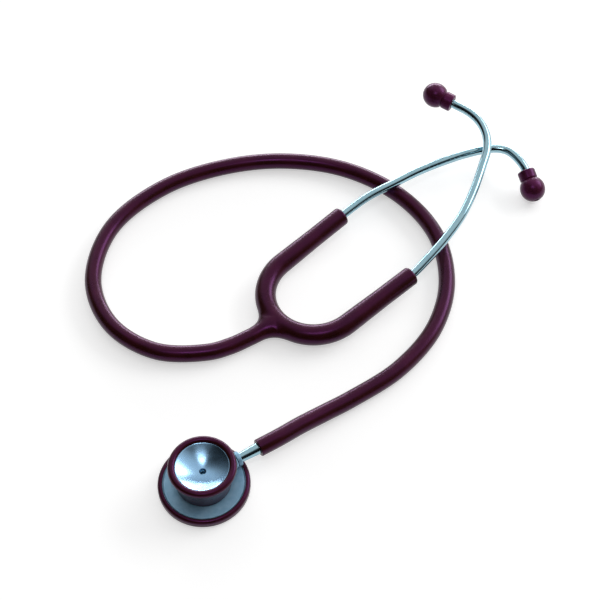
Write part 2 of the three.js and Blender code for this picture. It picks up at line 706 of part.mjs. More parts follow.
// The nipple plugs into the ear tube's end, and the soft tip is pushed over it.
function tipNipple() {
  const flangeEnd = FIT + NIPPLE_FLANGE;
  const ridge = (NIPPLE_LENGTH - flangeEnd) / 2;
  const body = turned(
    [
      [0, -NIPPLE_INSERT],
      [EAR_BORE_R - FIT, -NIPPLE_INSERT],
      [EAR_BORE_R - FIT, FIT],
      [NIPPLE_R, FIT],
      [NIPPLE_R, flangeEnd],
      [NIPPLE_NECK_R, flangeEnd],
      [NIPPLE_R, flangeEnd + ridge * RIDGE_PEAK],
      [NIPPLE_NECK_R, flangeEnd + ridge],
      [NIPPLE_R, flangeEnd + ridge * (1 + RIDGE_PEAK)],
      [NIPPLE_NECK_R, NIPPLE_LENGTH],
      [0, NIPPLE_LENGTH],
    ],
    SMALL_ROUND,
  );
  const airway = rod(NIPPLE_BORE_R, -NIPPLE_INSERT - CUT, NIPPLE_LENGTH + CUT, AIRWAY_SIDES);
  return carved(body, [], [airway]);
}

function earTip() {
  const boreR = Math.max(EAR_R, NIPPLE_R) + FIT;
  const neckAngle = -90 + THREE.MathUtils.radToDeg(Math.asin(TIP_NECK_R / TIP_BALL_R));
  const ball = arc(0, TIP_BALL_AT, TIP_BALL_R, neckAngle, TIP_ROUND_END, 10, TIP_STRETCH);
  const boreEnd = NIPPLE_LENGTH + FIT;
  return turnedRing(
    [
      [boreR, -TIP_COLLAR_BACK],
      [TIP_COLLAR_R - TIP_COLLAR_ROUND, -TIP_COLLAR_BACK],
      [TIP_COLLAR_R, -TIP_COLLAR_BACK + TIP_COLLAR_ROUND],
      [TIP_COLLAR_R, NECK_Z - TIP_COLLAR_ROUND],
      ...ball.filter(([, z]) => z > NECK_Z - TIP_COLLAR_ROUND),
      [TIP_HOLE_R, TIP_BALL_AT + TIP_STRETCH * TIP_BALL_R],
      [TIP_HOLE_R, boreEnd],
      [boreR, boreEnd],
    ],
    SMALL_ROUND,
  );
}

// The frame at an ear tube's end, its Z along the tube's last stretch.
function tubeEnd(side) {
  const [end, before] = vectors(EAR_ROUTES[side]).reverse();
  const frame = new THREE.Group();
  frame.position.copy(end);
  const out = end.clone().sub(before).normalize();
  frame.quaternion.setFromUnitVectors(UPWARDS, out);
  return frame;
}

const stethoscope = new THREE.Group();

const chestpiece = new THREE.Group();
chestpiece.rotation.z = radians(STEM_HEADING);
chestpiece.add(
  part("chestpiece_body", chestpieceBody(), "satin"),
  part("bell_cup", bellCup(), "steel"),
  part("bell_sleeve", bellSleeve(), "vinyl"),
  part("diaphragm", diaphragm(), "membrane"),
  part("diaphragm_rim", diaphragmRim(), "vinyl"),
  part("stem", stem(), "steel"),
  part("stem_collar", stemCollar(), "satin"),
  part("stem_o_ring", stemRing(), "seal"),
  part("detent_ball", detentBall(), "steel"),
  part("detent_spring", detentSpring(), "spring"),
  part("detent_screw", detentScrew(), "spring"),
);

headset.add(part("yoke", yoke(), "vinyl"), part("leaf_spring", leaf(0), "spring"));
for (const side of ["left", "right"]) {
  headset.add(
    part(`ear_tube_${side}`, earTube(side), "steel"),
    part(`spring_clip_${side}`, springClip(side), "spring"),
  );
  const end = tubeEnd(side);
  end.add(
    part(`tip_nipple_${side}`, tipNipple(), "steel"),
    part(`ear_tip_${side}`, earTip(), "soft"),
  );
  headset.add(end);
}

stethoscope.add(chestpiece, part("tubing", tubing(), "vinyl"), headset);

export default stethoscope;
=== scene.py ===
"""Single-tube stethoscope lying in a loop on a pale table.

Sizes are in millimetres, as in the part's source, and become metres where a mesh is made.
"""

import math

import bpy
import numpy as np
from mathutils import Matrix, Vector


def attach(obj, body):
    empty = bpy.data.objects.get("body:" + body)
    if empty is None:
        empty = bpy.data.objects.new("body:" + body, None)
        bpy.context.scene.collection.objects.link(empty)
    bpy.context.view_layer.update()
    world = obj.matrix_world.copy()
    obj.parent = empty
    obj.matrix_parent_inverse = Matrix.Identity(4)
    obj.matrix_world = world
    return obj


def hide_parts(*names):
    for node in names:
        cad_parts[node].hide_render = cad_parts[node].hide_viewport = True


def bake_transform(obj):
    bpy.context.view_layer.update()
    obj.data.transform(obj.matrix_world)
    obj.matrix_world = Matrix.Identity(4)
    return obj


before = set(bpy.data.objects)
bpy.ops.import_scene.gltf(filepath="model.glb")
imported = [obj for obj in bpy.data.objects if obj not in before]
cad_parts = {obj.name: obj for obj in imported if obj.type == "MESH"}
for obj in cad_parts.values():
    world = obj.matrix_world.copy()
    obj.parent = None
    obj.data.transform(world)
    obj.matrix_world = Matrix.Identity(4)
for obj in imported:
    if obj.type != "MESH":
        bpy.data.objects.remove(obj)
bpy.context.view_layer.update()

MM = 0.001
SIDE_SIGNS = {"left": 1, "right": -1}

# Camera: the photograph's own, found from the ring's ellipse and the table plane
CAMERA_AT = (0.04842, -0.32415, 0.60676)
CAMERA_TARGET = (0.04842, 0.11669, 0.0)
CAMERA_LENS = 80.64
CAMERA_SENSOR = 36
CAMERA_NEAR = 0.01

# Sizes shared with the part's source
FIT = 0.3
RIM_R = 23.5
RIM_LIFT = 0.25
RIM_FOOT_R = 20.0
RIM_FOOT_TOP = 1.05
RIM_COVER = 0.85
RIM_GROOVE_R = 22.5
RIM_TOP = 5.2
DIAPHRAGM_THICK = 0.4
DIAPHRAGM_STEP = 1.8
PLATE_R = 22.2
PLATE_BOTTOM = 2.05
FLANGE_TOP = 4.05
PLATE_TOP = 4.6
PLATE_FACE_R = 20.8
HUB_R = 10.5
HUB_TOP = 14.4
HUB_FILLET = 1.2
REGISTER_R = 5.3
REGISTER_FLOOR = 13.4
BOSS_R = 4.3
BOSS_REACH = 18.5
STEM_HEADING = 31.3
STEM_Z = 9.6
PORT_R = 1.2
BELL_SEAT = 14.7
BELL_TOP = 20.6
BELL_FLOOR = 15.2
BELL_CURVE = 1.5
BELL_MOUTH_R = 13.4
BELL_OUTER_R = 14.9
SLEEVE_FOOT = 4.9
SLEEVE_FOOT_R = 14.0
SLEEVE_BEAD_R = 1.95
SLEEVE_BEAD_Z = 20.2
SLEEVE_MOUTH_R = 17.3
SLEEVE_CURVE = 1.7
JOURNAL_R = 2.85
JOURNAL_END = -4.7
DETENT_X = 5
DETENT_GROOVE_R = 2.3
BALL_R = 1.0
RING_X = 14
RING_GROOVE_R = 1.9
RING_HALF = 0.625
COLLAR_R = 4.0
COLLAR_LENGTH = 2.2
SHANK_R_INNER = 2.6
SHANK_R_OUTER = 3.1
BARB_R = 2.25
BARB_NECK_R = 2.0
BARB_LENGTH = 10
RIDGE_PEAK = 0.3
TUBE_START = 31.9
TUBE_STRAIGHT = 12
TUBE_R = 4.65
TUBE_BORE_R = 2.7
TUBE_ROUTE = [
    (48.7, 31.1, 8.0), (62.0, 40.1, 6.1), (75.3, 48.7, 5.0),
    (101.1, 67.6, 4.8), (121.4, 93.9, 4.8), (130.5, 125.6, 4.8), (125.9, 160.4, 4.8),
    (106.3, 189.4, 4.8), (75.2, 209.3, 4.8), (39.4, 216.0, 4.8), (3.6, 211.3, 4.8),
    (-32.0, 195.1, 4.8), (-60.0, 164.8, 4.8), (-67.3, 126.3, 4.8), (-54.5, 96.0, 4.8),
    (-29.2, 79.2, 4.8), (-1.3, 78.5, 4.8), (11.5, 82.8, 4.8), (22.3, 88.8, 4.8),
]
HEADSET_AT = (31.5, 93.5, 5.6)
HEADSET_YAW = 41.45
HEADSET_TILT = 4.57
YOKE_R = 5.4
YOKE_BEND_R = 5.8
YOKE_SWELL = 22
BEND_R = 27.4
BEND_U = 33.7
ARM_SPLAY = 1.4
ARM_LENGTH = 47.3
SOCKET_DEPTH = 26.3
LEAF_THICK = 0.6
LEAF_HEIGHT = 4.0
LEAF_TIP_HEIGHT = 2.4
LEAF_TAPER = 12
LEAF_START = 11.3
LEAF_OFFSET = -3.1
EAR_R = 2.5
EAR_BORE_R = 1.9
EAR_ROUTES = {
    "left": [
        (100.4, 28.6, -0.9), (119.3, 25.9, -2.4), (134.1, 23.6, -3.5), (149.4, 19.8, -4.6),
        (163.9, 15.1, -5.6), (175.7, 9.7, -6.3), (183.1, 4.5, -6.7), (186.2, -0.8, -6.8),
        (186.5, -6, -6.8), (185.7, -11.2, -6.8), (184.4, -16.2, -7.3), (182.6, -20.4, -9.05),
    ],
    "right": [
        (93.1, -27.1, 0.3), (109.1, -24.5, 0.7), (127.8, -19.8, 1.45), (144.7, -12.6, 2.2),
        (162.4, -2.9, 3), (171.4, 2.6, 3.5), (177.6, 8.7, 4), (181.5, 15.6, 4.6),
        (183.2, 22.2, 5.3), (183, 29.5, 6), (181, 38, 6.6), (179.5, 42.6, 7.25),
    ],
}
NIPPLE_R = 2.5
NIPPLE_NECK_R = 2.05
NIPPLE_LENGTH = 6.6
NIPPLE_FLANGE = 1.0
NIPPLE_INSERT = 3
NIPPLE_BORE_R = 0.9
TIP_BALL_R = 7.3
TIP_BALL_AT = 8.7
TIP_STRETCH = 1.04
TIP_COLLAR_R = 5.2
TIP_COLLAR_BACK = 2.8
TIP_COLLAR_TOP = 3.0
TIP_NECK_R = 4.7
TIP_HOLE_R = 1.3
TIP_BORE_R = 2.8

# Forms that only the scene has: small roundings, and how finely a mesh is cut
FINE_EDGE = 0.1
SMALL_EDGE = 0.15
EDGE = 0.2
SOFT_EDGE = 0.3
SHARP_ANGLE = 40
ROUNDING_STEPS = 5
CURVE_SAMPLES = 60
FINE_SIDES = 128
ON_AXIS = 1e-6
NEARLY_UP = (0.02, 0.01, 1.0)

# Frames
CHESTPIECE = Matrix.Rotation(math.radians(STEM_HEADING), 4, "Z")
ALONG_STEM = Matrix.Translation((0, 0, STEM_Z)) @ Matrix.Rotation(math.pi / 2, 4, "Y")
STEM = CHESTPIECE @ ALONG_STEM
HEADSET = (
    Matrix.Translation(HEADSET_AT)
    @ Matrix.Rotation(math.radians(HEADSET_YAW), 4, "Z")
    @ Matrix.Rotation(-math.radians(HEADSET_TILT), 4, "Y")
)


def placed(points, matrix):
    """Points moved by a matrix."""
    m = np.array(matrix)
    return np.asarray(points, float) @ m[:3, :3].T + m[:3, 3]


def aimed(location, target):
    """The turn that points a camera or a lamp at the target."""
    return (Vector(target) - Vector(location)).to_track_quat("-Z", "Y").to_euler()


# Camera

def add_camera():
    data = bpy.data.cameras.new("camera")
    data.lens = CAMERA_LENS
    data.sensor_width = CAMERA_SENSOR
    data.clip_start = CAMERA_NEAR
    camera = bpy.data.objects.new("camera", data)
    camera.location = CAMERA_AT
    camera.rotation_euler = aimed(CAMERA_AT, CAMERA_TARGET)
    bpy.context.collection.objects.link(camera)
    bpy.context.scene.camera = camera


add_camera()


# Materials: colours are (red, green, blue), lengths millimetres, noise scales per millimetre

DUST_COLOUR = (0.32, 0.26, 0.28)
DUST_SHARE = 0.2
VIOLET_GLOSS = (0.66, 0.15, 0.75)
PLAIN_GLOSS = (1, 1, 1)
SPRING_STEEL = ((0.36, 0.38, 0.41), (0.26, 0.27, 0.3), 0.35)


def new_material(name):
    """A material's node tree and its Principled shader."""
    material = bpy.data.materials.new(name)
    material.use_nodes = True
    tree = material.node_tree
    return material, tree, tree.nodes["Principled BSDF"]


def straight_place(tree):
    """Each piece's own place before it was bent or turned into position, in millimetres."""
    node = tree.nodes.new("ShaderNodeAttribute")
    node.attribute_name = "straight"
    return node.outputs["Vector"]


def object_place(tree):
    """The place on a piece that comes from the frame, in millimetres."""
    node = tree.nodes.new("ShaderNodeTexCoord")
    return stretched(tree, node.outputs["Object"], (1000, 1000, 1000))


def stretched(tree, place, scale):
    node = tree.nodes.new("ShaderNodeVectorMath")
    node.operation = "MULTIPLY"
    tree.links.new(place, node.inputs[0])
    node.inputs[1].default_value = scale
    return node.outputs[0]


def noise(tree, place, scale, detail=3.0, roughness=0.55):
    node = tree.nodes.new("ShaderNodeTexNoise")
    node.inputs["Scale"].default_value = scale
    node.inputs["Detail"].default_value = detail
    node.inputs["Roughness"].default_value = roughness
    tree.links.new(place, node.inputs["Vector"])
    return node.outputs["Fac"]


def remap(tree, value, source, target):
    """A value carried from one range, (low, high), to another."""
    node = tree.nodes.new("ShaderNodeMapRange")
    tree.links.new(value, node.inputs["Value"])
    for socket, number in zip(node.inputs[1:5], (*source, *target)):
        socket.default_value = number
    return node.outputs["Result"]


def math_node(tree, operation, a, b=None):
    node = tree.nodes.new("ShaderNodeMath")
    node.operation = operation
    for socket, value in zip(node.inputs, (a, b)):
        if value is None:
            continue
        if isinstance(value, (int, float)):
            socket.default_value = value
        else:
            tree.links.new(value, socket)
    return node.outputs[0]


def mixed(tree, factor, a, b):
    """One colour over another by a factor; either may be a plain colour or a socket."""
    node = tree.nodes.new("ShaderNodeMix")
    node.data_type = "RGBA"
    tree.links.new(factor, node.inputs["Factor"])
    for socket, value in ((node.inputs[6], a), (node.inputs[7], b)):
        if isinstance(value, tuple):
            socket.default_value = (*value, 1)
        else:
            tree.links.new(value, socket)
    return node.outputs[2]


def bump(tree, height, distance, strength=1.0, after=None):
    node = tree.nodes.new("ShaderNodeBump")
    node.inputs["Distance"].default_value = distance * MM
    node.inputs["Strength"].default_value = strength
    tree.links.new(height, node.inputs["Height"])
    if after is not None:
        tree.links.new(after, node.inputs["Normal"])
    return node.outputs["Normal"]


def vinyl(name, dark, light, sheen_streak, roughness, gloss, place_on=straight_place):
    """Dip-moulded vinyl or rubber: uneven gloss, faint streaks along the piece coloured with a
    painted sheen, and fine dust.
    """
    material, tree, shader = new_material(name)
    place = place_on(tree)
    clouds = noise(tree, place, 0.09, 4)
    streaks = noise(tree, stretched(tree, place, (1.0, 1.0, 0.06)), 1.3, 4)
    grain = noise(tree, place, 6.0, 2)
    specks = noise(tree, place, 3.1, 1, 0.3)
    colour = mixed(tree, remap(tree, clouds, (0.35, 0.65), (0, 1)), dark, light)
    # Painted sheen: the streaks along the piece take the third colour, which stands in for the
    # gloss's violet sheen.
    colour = mixed(tree, remap(tree, streaks, (0.55, 0.8), (0, 0.5)), colour, sheen_streak)
    dust = remap(tree, specks, (0.76, 0.8), (0, DUST_SHARE))
    colour = mixed(tree, dust, colour, DUST_COLOUR)
    tree.links.new(colour, shader.inputs["Base Color"])
    rough = math_node(tree, "ADD", remap(tree, clouds, (0.3, 0.7), (-0.05, 0.06)), roughness)
    rough = math_node(tree, "ADD", rough, remap(tree, dust, (0, DUST_SHARE), (0, DUST_SHARE)))
    tree.links.new(rough, shader.inputs["Roughness"])
    relief = bump(tree, streaks, 0.05, 0.35)
    tree.links.new(bump(tree, grain, 0.02, 0.3, relief), shader.inputs["Normal"])
    shader.inputs["Specular IOR Level"].default_value = 0.5
    shader.inputs["Specular Tint"].default_value = (*gloss, 1)
    return material


def polished(name, colour, shade, roughness, along, place_on=straight_place):
    """Polished steel: faint draw lines along or round the piece, and soft smudges."""
    material, tree, shader = new_material(name)
    place = place_on(tree)
    smudge = noise(tree, place, 0.22, 4)
    lines = noise(tree, stretched(tree, place, along), 9.0, 3)
    tone = mixed(tree, remap(tree, smudge, (0.35, 0.7), (0, 1)), colour, shade)
    tree.links.new(tone, shader.inputs["Base Color"])
    rough = math_node(tree, "ADD", remap(tree, smudge, (0.3, 0.7), (-0.03, 0.05)), roughness)
    tree.links.new(rough, shader.inputs["Roughness"])
    tree.links.new(bump(tree, lines, 0.01, 0.25), shader.inputs["Normal"])
    shader.inputs["Metallic"].default_value = 1
    return material


def turned_metal(name, colour, shade, roughness, place_on=straight_place, metallic=1.0):
    """Satin metal with the fine rings that turning leaves."""
    material, tree, shader = new_material(name)
    place = place_on(tree)
    parts = tree.nodes.new("ShaderNodeSeparateXYZ")
    tree.links.new(place, parts.inputs[0])
    squares = [math_node(tree, "POWER", parts.outputs[i], 2.0) for i in (0, 1)]
    radius = math_node(tree, "SQRT", math_node(tree, "ADD", *squares))
    combined = tree.nodes.new("ShaderNodeCombineXYZ")
    tree.links.new(radius, combined.inputs[0])
    tree.links.new(parts.outputs[2], combined.inputs[1])
    rings = noise(tree, combined.outputs[0], 5.0, 4, 0.7)
    smudge = noise(tree, place, 0.25, 4)
    pits = noise(tree, place, 2.4, 2)
    tone = mixed(tree, remap(tree, smudge, (0.35, 0.7), (0, 1)), colour, shade)
    tone = mixed(tree, remap(tree, pits, (0.66, 0.74), (0, 0.5)), tone, shade)
    tree.links.new(tone, shader.inputs["Base Color"])
    rough = math_node(tree, "ADD", remap(tree, rings, (0.3, 0.7), (-0.06, 0.08)), roughness)
    tree.links.new(rough, shader.inputs["Roughness"])
    tree.links.new(bump(tree, rings, 0.03, 0.35), shader.inputs["Normal"])
    shader.inputs["Metallic"].default_value = metallic
    shader.inputs["Anisotropic"].default_value = 0.4
    return material


def laminate(name, colour, fibre):
    """The diaphragm's thin resin sheet, with its woven fibres just showing."""
    material, tree, shader = new_material(name)
    place = straight_place(tree)
    warp = noise(tree, stretched(tree, place, (1.0, 0.08, 1.0)), 7.0, 2)
    weft = noise(tree, stretched(tree, place, (0.08, 1.0, 1.0)), 7.0, 2)
    weave = math_node(tree, "MAXIMUM", warp, weft)
    tone = mixed(tree, remap(tree, weave, (0.5, 0.7), (0, 1)), colour, fibre)
    tree.links.new(tone, shader.inputs["Base Color"])
    rough = remap(tree, noise(tree, place, 0.3), (0.3, 0.7), (0.28, 0.4))
    tree.links.new(rough, shader.inputs["Roughness"])
    tree.links.new(bump(tree, weave, 0.02, 0.3), shader.inputs["Normal"])
    shader.inputs["Coat Weight"].default_value = 0.3
    return material


# Each vinyl's third colour is a painted violet sheen laid along its streaks.
VINYL = vinyl(
    "vinyl_burgundy", (0.027, 0.006, 0.0025), (0.038, 0.006, 0.004), (0.066, 0.007, 0.036), 0.3,
    VIOLET_GLOSS,
)
SOFT = vinyl(
    "soft_tip", (0.05, 0.009, 0.018), (0.08, 0.01, 0.034), (0.15, 0.016, 0.12), 0.3, VIOLET_GLOSS
)
CHROME = polished("polished_steel", (0.34, 0.52, 0.59), (0.28, 0.46, 0.54), 0.14, (1, 1, 0.04))
BELL = polished("polished_bell", (0.32, 0.54, 0.76), (0.28, 0.49, 0.72), 0.25, (0.3, 0.3, 1))
SATIN = turned_metal("satin_metal", (0.3, 0.5, 0.66), (0.22, 0.41, 0.57), 0.62, metallic=0.7)
SPRING = turned_metal("spring_steel", *SPRING_STEEL)
MEMBRANE = laminate("membrane", (0.7, 0.72, 0.68), (0.8, 0.82, 0.77))


# Mesh helpers

def make(name, points, faces, straight, material, matrix=Matrix(), weighted=True):
    """A mesh object from points in millimetres, keeping each point's own place for the material."""
    mesh = bpy.data.meshes.new(name)
    mesh.from_pydata((placed(points, matrix) * MM).tolist(), [], faces)
    mesh.materials.append(material)
    attribute = mesh.attributes.new("straight", "FLOAT_VECTOR", "POINT")
    attribute.data.foreach_set("vector", np.asarray(straight, np.float32).ravel())
    mesh.shade_smooth()
    piece = bpy.data.objects.new(name, mesh)
    bpy.context.collection.objects.link(piece)
    if weighted:
        mesh.set_sharp_from_angle(angle=math.radians(SHARP_ANGLE))
        modifier = piece.modifiers.new("even shading", "WEIGHTED_NORMAL")
        modifier.keep_sharp = True
    return piece


def arc(x, y, radius, start, end, steps, stretch=1.0):
    """Points on an arc, angles in degrees."""
    angles = np.radians(np.linspace(start, end, steps + 1))
    return [(x + radius * math.cos(a), y + stretch * radius * math.sin(a)) for a in angles]


def eased(outline, closed):
    """The outline with each corner that has a third number rounded to that radius."""
    points = []
    count = len(outline)
    for i, corner in enumerate(outline):
        here = np.array(corner[:2], float)
        ends = not closed and i in (0, count - 1)
        if len(corner) < 3 or ends:
            points.append(tuple(here))
            continue
        before = np.array(outline[i - 1][:2], float) - here
        after = np.array(outline[(i + 1) % count][:2], float) - here
        before /= np.linalg.norm(before)
        after /= np.linalg.norm(after)
        half = math.acos(np.clip(before @ after, -1, 1)) / 2
        back = corner[2] / math.tan(half)
        inwards = (before + after) / np.linalg.norm(before + after)
        centre = here + inwards * corner[2] / math.sin(half)
        first = here + before * back - centre
        last = here + after * back - centre
        turn = math.atan2(first[0] * last[1] - first[1] * last[0], first @ last)
        for step in range(ROUNDING_STEPS + 1):
            a = turn * step / ROUNDING_STEPS
            spun = (
                first[0] * math.cos(a) - first[1] * math.sin(a),
                first[0] * math.sin(a) + first[1] * math.cos(a),
            )
            points.append((centre[0] + spun[0], centre[1] + spun[1]))
    return points


def woven(rings, sides, closed):
    """Quads between rings of points."""
    faces = []
    spans = rings if closed else rings - 1
    for ring in range(spans):
        a = ring * sides
        b = ((ring + 1) % rings) * sides
        faces += [(a + i, a + (i + 1) % sides, b + (i + 1) % sides, b + i) for i in range(sides)]
    return faces


def turned(outline, closed=False, sides=96):
    """Points and faces of a turned form from (radius, height[, rounding]) corners about Z."""
    profile = eased(outline, closed)
    angles = 2 * np.pi * np.arange(sides) / sides
    points, rings, faces = [], [], []
    for radius, height in profile:
        count = 1 if radius < ON_AXIS else sides
        rings.append([len(points) + i % count for i in range(sides + 1)])
        points += [(radius * math.cos(a), radius * math.sin(a), height) for a in angles[:count]]
    for a, b in zip(rings, rings[1:] + rings[:1] if closed else rings[1:]):
        for i in range(sides):
            corners = [a[i], a[i + 1], b[i + 1], b[i]]
            faces.append(list(dict.fromkeys(corners)))
    return np.array(points), faces


def drill(radius, low, high, matrix=Matrix(), sides=48):
    """A plain cutter about Z, then placed."""
    points, faces = turned([(0, low), (radius, low), (radius, high), (0, high)], sides=sides)
    return placed(points, matrix), faces


def combined(base, others, operation):
    """A form with others cut from it or joined to it, in its own millimetres."""
    objects = []
    for points, faces in (base, *others):
        mesh = bpy.data.meshes.new("form")
        mesh.from_pydata(np.asarray(points).tolist(), [], faces)
        form = bpy.data.objects.new("form", mesh)
        bpy.context.collection.objects.link(form)
        objects.append(form)
    for other in objects[1:]:
        modifier = objects[0].modifiers.new("combine", "BOOLEAN")
        modifier.operation = operation
        modifier.solver = "EXACT"
        modifier.object = other
    graph = bpy.context.evaluated_depsgraph_get()
    mesh = objects[0].evaluated_get(graph).to_mesh()
    points = np.array([v.co for v in mesh.vertices])
    faces = [list(face.vertices) for face in mesh.polygons]
    objects[0].evaluated_get(graph).to_mesh_clear()
    for form in objects:
        bpy.data.meshes.remove(form.data)
    return points, faces


def lathe(name, outline, material, matrix, closed=False, sides=96, cuts=(), joins=()):
    """A turned piece, with forms joined on and then forms cut off."""
    form = turned(outline, closed, sides)
    if joins:
        form = combined(form, joins, "UNION")
    if cuts:
        form = combined(form, cuts, "DIFFERENCE")
    return make(name, form[0], form[1], form[0], material, matrix)


def catmull(points, spacing):
    """The source's own smooth curve through the points, cut into even steps."""
    p = np.array(points, float)
    p = np.vstack([2 * p[0] - p[1], p, 2 * p[-1] - p[-2]])
    dense = []
    for a, b, c, d in zip(p, p[1:], p[2:], p[3:]):
        pairs = ((a, b), (b, c), (c, d))
        before, middle, after = (math.sqrt(np.linalg.norm(y - x)) for x, y in pairs)
        start = ((b - a) / before - (c - a) / (before + middle) + (c - b) / middle) * middle
        end = ((c - b) / middle - (d - b) / (middle + after) + (d - c) / after) * middle
        t = np.linspace(0, 1, CURVE_SAMPLES, endpoint=False)[:, None]
        square = 3 * (c - b) - 2 * start - end
        cube = 2 * (b - c) + start + end
        dense.append(b + start * t + square * t**2 + cube * t**3)
    dense = np.vstack([*dense, p[-2:-1]])
    lengths = np.r_[0, np.cumsum(np.linalg.norm(np.diff(dense, axis=0), axis=1))]
    even = np.linspace(0, lengths[-1], max(2, round(lengths[-1] / spacing)) + 1)
    return np.stack([np.interp(even, lengths, dense[:, i]) for i in range(3)], 1), even


def tube_stations(length, radius, bore, near_r, step, far_r):
    """A tube's closed outline as (length, radius): near edge, outside, far edge and bore."""
    quarter = np.radians(np.linspace(0, 90, ROUNDING_STEPS + 1))
    near = [
        (near_r - near_r * math.cos(a), radius - near_r + near_r * math.sin(a))
        for a in quarter
    ]
    far = [
        (length - far_r + far_r * math.sin(a), radius - far_r + far_r * math.cos(a))
        for a in quarter
    ]
    outside = [(s, radius) for s in np.arange(near_r + step, length - far_r - step / 2, step)]
    inside = [(s, bore) for s in np.linspace(length, 0, max(2, round(length / step / 3)))]
    return near + outside + far + inside


def pipe(name, path, lengths, stations, material, matrix=Matrix(), sides=48):
    """A tube along a path: each (length, radius) of a closed list is a ring square to the path."""
    tangents = np.gradient(path, axis=0)
    tangents /= np.linalg.norm(tangents, axis=1)[:, None]
    normals = [np.cross(tangents[0], np.cross(NEARLY_UP, tangents[0]))]
    for tangent in tangents[1:]:
        carried = normals[-1] - tangent * (normals[-1] @ tangent)
        normals.append(carried / np.linalg.norm(carried))
    normals = np.array(normals) / np.linalg.norm(normals, axis=1)[:, None]
    sides_out = np.cross(tangents, normals)
    at = np.array([s for s, _ in stations])
    radii = np.array([r for _, r in stations])

    def along(values):
        return np.stack([np.interp(at, lengths, values[:, i]) for i in range(3)], 1)[:, None, :]

    angles = 2 * np.pi * np.arange(sides) / sides
    cosine, sine = np.cos(angles), np.sin(angles)
    around = cosine[None, :, None] * along(normals) + sine[None, :, None] * along(sides_out)
    points = along(path) + radii[:, None, None] * around
    depths = np.repeat(at[:, None], sides, 1)
    straight = np.stack([np.outer(radii, cosine), np.outer(radii, sine), depths], -1)
    faces = [face[::-1] for face in woven(len(at), sides, True)]
    return make(
        name, points.reshape(-1, 3), faces, straight.reshape(-1, 3), material, matrix
    )


# Tube

HOSE_SPACING = 1.0
HOSE_STEP = 1.5
HOSE_EDGE = 0.4
HOSE_YOKE_EDGE = 0.02

stem_line = placed([(0, 0, TUBE_START), (0, 0, TUBE_START + TUBE_STRAIGHT)], STEM)
hose_path, hose_lengths = catmull([*stem_line.tolist(), *TUBE_ROUTE], HOSE_SPACING)


def hose():
    stations = tube_stations(
        hose_lengths[-1], TUBE_R, TUBE_BORE_R, HOSE_EDGE, HOSE_STEP, HOSE_YOKE_EDGE
    )
    piece = pipe("hose", hose_path, hose_lengths, stations, VINYL)
    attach(piece, "tube_and_yoke")
    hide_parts("tubing")


hose()


# Yoke: a round-edged form with filleted crotches, made as the zero surface of a field

TUBE_END = placed([TUBE_ROUTE[-1]], HEADSET.inverted())[0]
TUBE_BEFORE = placed([TUBE_ROUTE[-2]], HEADSET.inverted())[0]
TUBE_OUT = (TUBE_END - TUBE_BEFORE) / np.linalg.norm(TUBE_END - TUBE_BEFORE)
SPLAY = math.radians(ARM_SPLAY)
CROTCH_BLEND = 8.0
END_ROUND = 1.3
SOCKET_SHOWN = 6
SOCKET_GAP = 0.12
SOCKET_LIP = 0.5
STUB_SAMPLES = 40
STUB_LEAD = ((4.0,), (2.0,))
FAR_OFF = 1e9
FIELD_LOW = (-15, -35.5, -7)
FIELD_HIGH = (82, 35.5, 7)
FIELD_CELL = 0.55
FIELD_STEP = 0.02
SMOOTHINGS = 3
PULLS = 3
CUT_BACK = -0.45
CUT_DRAW = 0.1


def arm_point(sign, depth):
    """A place on an arm's middle line, by its depth from the arm's end."""
    out = ARM_LENGTH - depth
    u = BEND_U - BEND_R * math.sin(SPLAY) + out * math.cos(SPLAY)
    return (u, sign * (BEND_R * math.cos(SPLAY) + out * math.sin(SPLAY)), 0)


def beside_arm(u, v):
    """A place's distance along the nearer arm from the bend, and outside the arm's line."""
    u, v = u - BEND_U, np.abs(v)
    along = u * math.cos(SPLAY) + v * math.sin(SPLAY)
    return along, v * math.cos(SPLAY) - u * math.sin(SPLAY) - BEND_R


def stub_points():
    """The stub's middle line, from a little down the tube to the bend's middle."""
    start, reach = TUBE_END[:2], -TUBE_END[0] / 2
    knee = start + np.array([reach, reach * TUBE_OUT[1] / TUBE_OUT[0]])
    goal = np.array([BEND_U - BEND_R, 0.0])
    t = np.linspace(0, 1, STUB_SAMPLES)[:, None]
    curve = (1 - t) ** 2 * start + 2 * t * (1 - t) * knee + t**2 * goal
    lead = start - TUBE_OUT[:2] * np.array(STUB_LEAD)
    return np.vstack([lead, curve])


STUB = stub_points()


def stub_share(u):
    """How far along the stub a place is, from the tube's end to the bend, as an eased share."""
    share = np.clip((u - TUBE_END[0]) / (BEND_U - BEND_R - TUBE_END[0]), 0, 1)
    return share * share * (3 - 2 * share)


def plan_distance(u, v):
    """How far outside the yoke's outline a place in its plane is, and its edge's radius there."""
    along, aside = beside_arm(u, v)
    from_bend = np.hypot(u - BEND_U, v) - BEND_R
    across = np.abs(np.where(along > 0, aside, from_bend))
    swell = np.clip((ARM_LENGTH - along - YOKE_SWELL) / (ARM_LENGTH - YOKE_SWELL), 0, 1)
    full = YOKE_R + (YOKE_BEND_R - YOKE_R) * swell
    nearest = np.full(u.shape, FAR_OFF)
    for a, b in zip(STUB, STUB[1:]):
        d = b - a
        t = np.clip(((u - a[0]) * d[0] + (v - a[1]) * d[1]) / (d @ d), 0, 1)
        nearest = np.minimum(nearest, np.hypot(u - a[0] - t * d[0], v - a[1] - t * d[1]))
    edge = TUBE_R + (full - TUBE_R) * stub_share(u)
    arms, stub = across - full, nearest - edge
    overlap = np.maximum(CROTCH_BLEND - np.abs(arms - stub), 0) / CROTCH_BLEND
    outer = np.clip(from_bend / YOKE_BEND_R, 0, 1)
    return np.minimum(arms, stub) - outer * overlap**2 * CROTCH_BLEND / 4, edge


def stub_height(u):
    """The stub's middle height: it meets the tube's end and levels out at the bend."""
    slope = (TUBE_END[2] - TUBE_BEFORE[2]) / (TUBE_END[0] - TUBE_BEFORE[0])
    before = TUBE_END[2] + slope * np.minimum(u - TUBE_END[0], 0)
    return np.where(u < TUBE_END[0], before, TUBE_END[2] * (1 - stub_share(u)))


